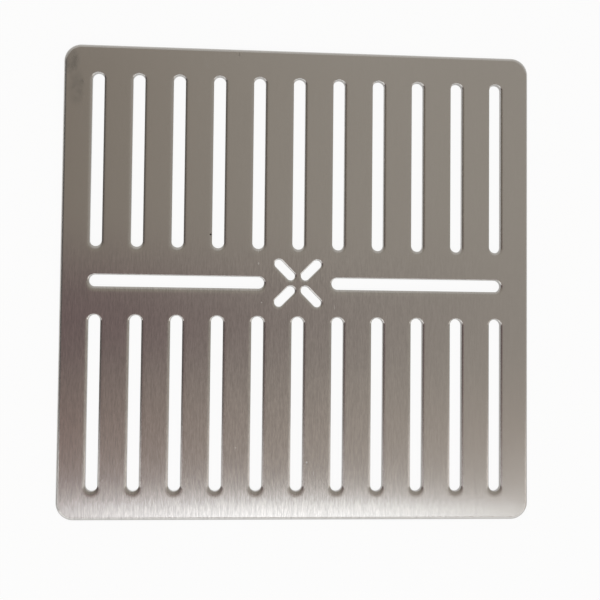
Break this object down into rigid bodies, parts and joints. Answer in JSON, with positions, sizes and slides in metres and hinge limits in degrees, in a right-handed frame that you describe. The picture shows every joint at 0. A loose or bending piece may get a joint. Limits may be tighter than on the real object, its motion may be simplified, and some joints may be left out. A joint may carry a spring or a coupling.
{
  "type": "shower waste cover",
  "caption": "Flat square brushed stainless steel cover for a shower waste, with rows of round-ended drain slots and a small cross of short slots at its middle.",
  "frame": {"origin": "middle of the flat underside, which rests on the ledge of the waste", "axes": "+Z out of the brushed upper face, +Y along the upright slots and the brushed grain, +X along the level slots"},
  "size_m": [0.15, 0.15, 0.002],
  "materials": {
    "brushed_stainless": "hairline brushed, grain along Y"
  },
  "bodies": {
    "root": {"waste_cover": "brushed_stainless"}
  },
  "joints": []
}
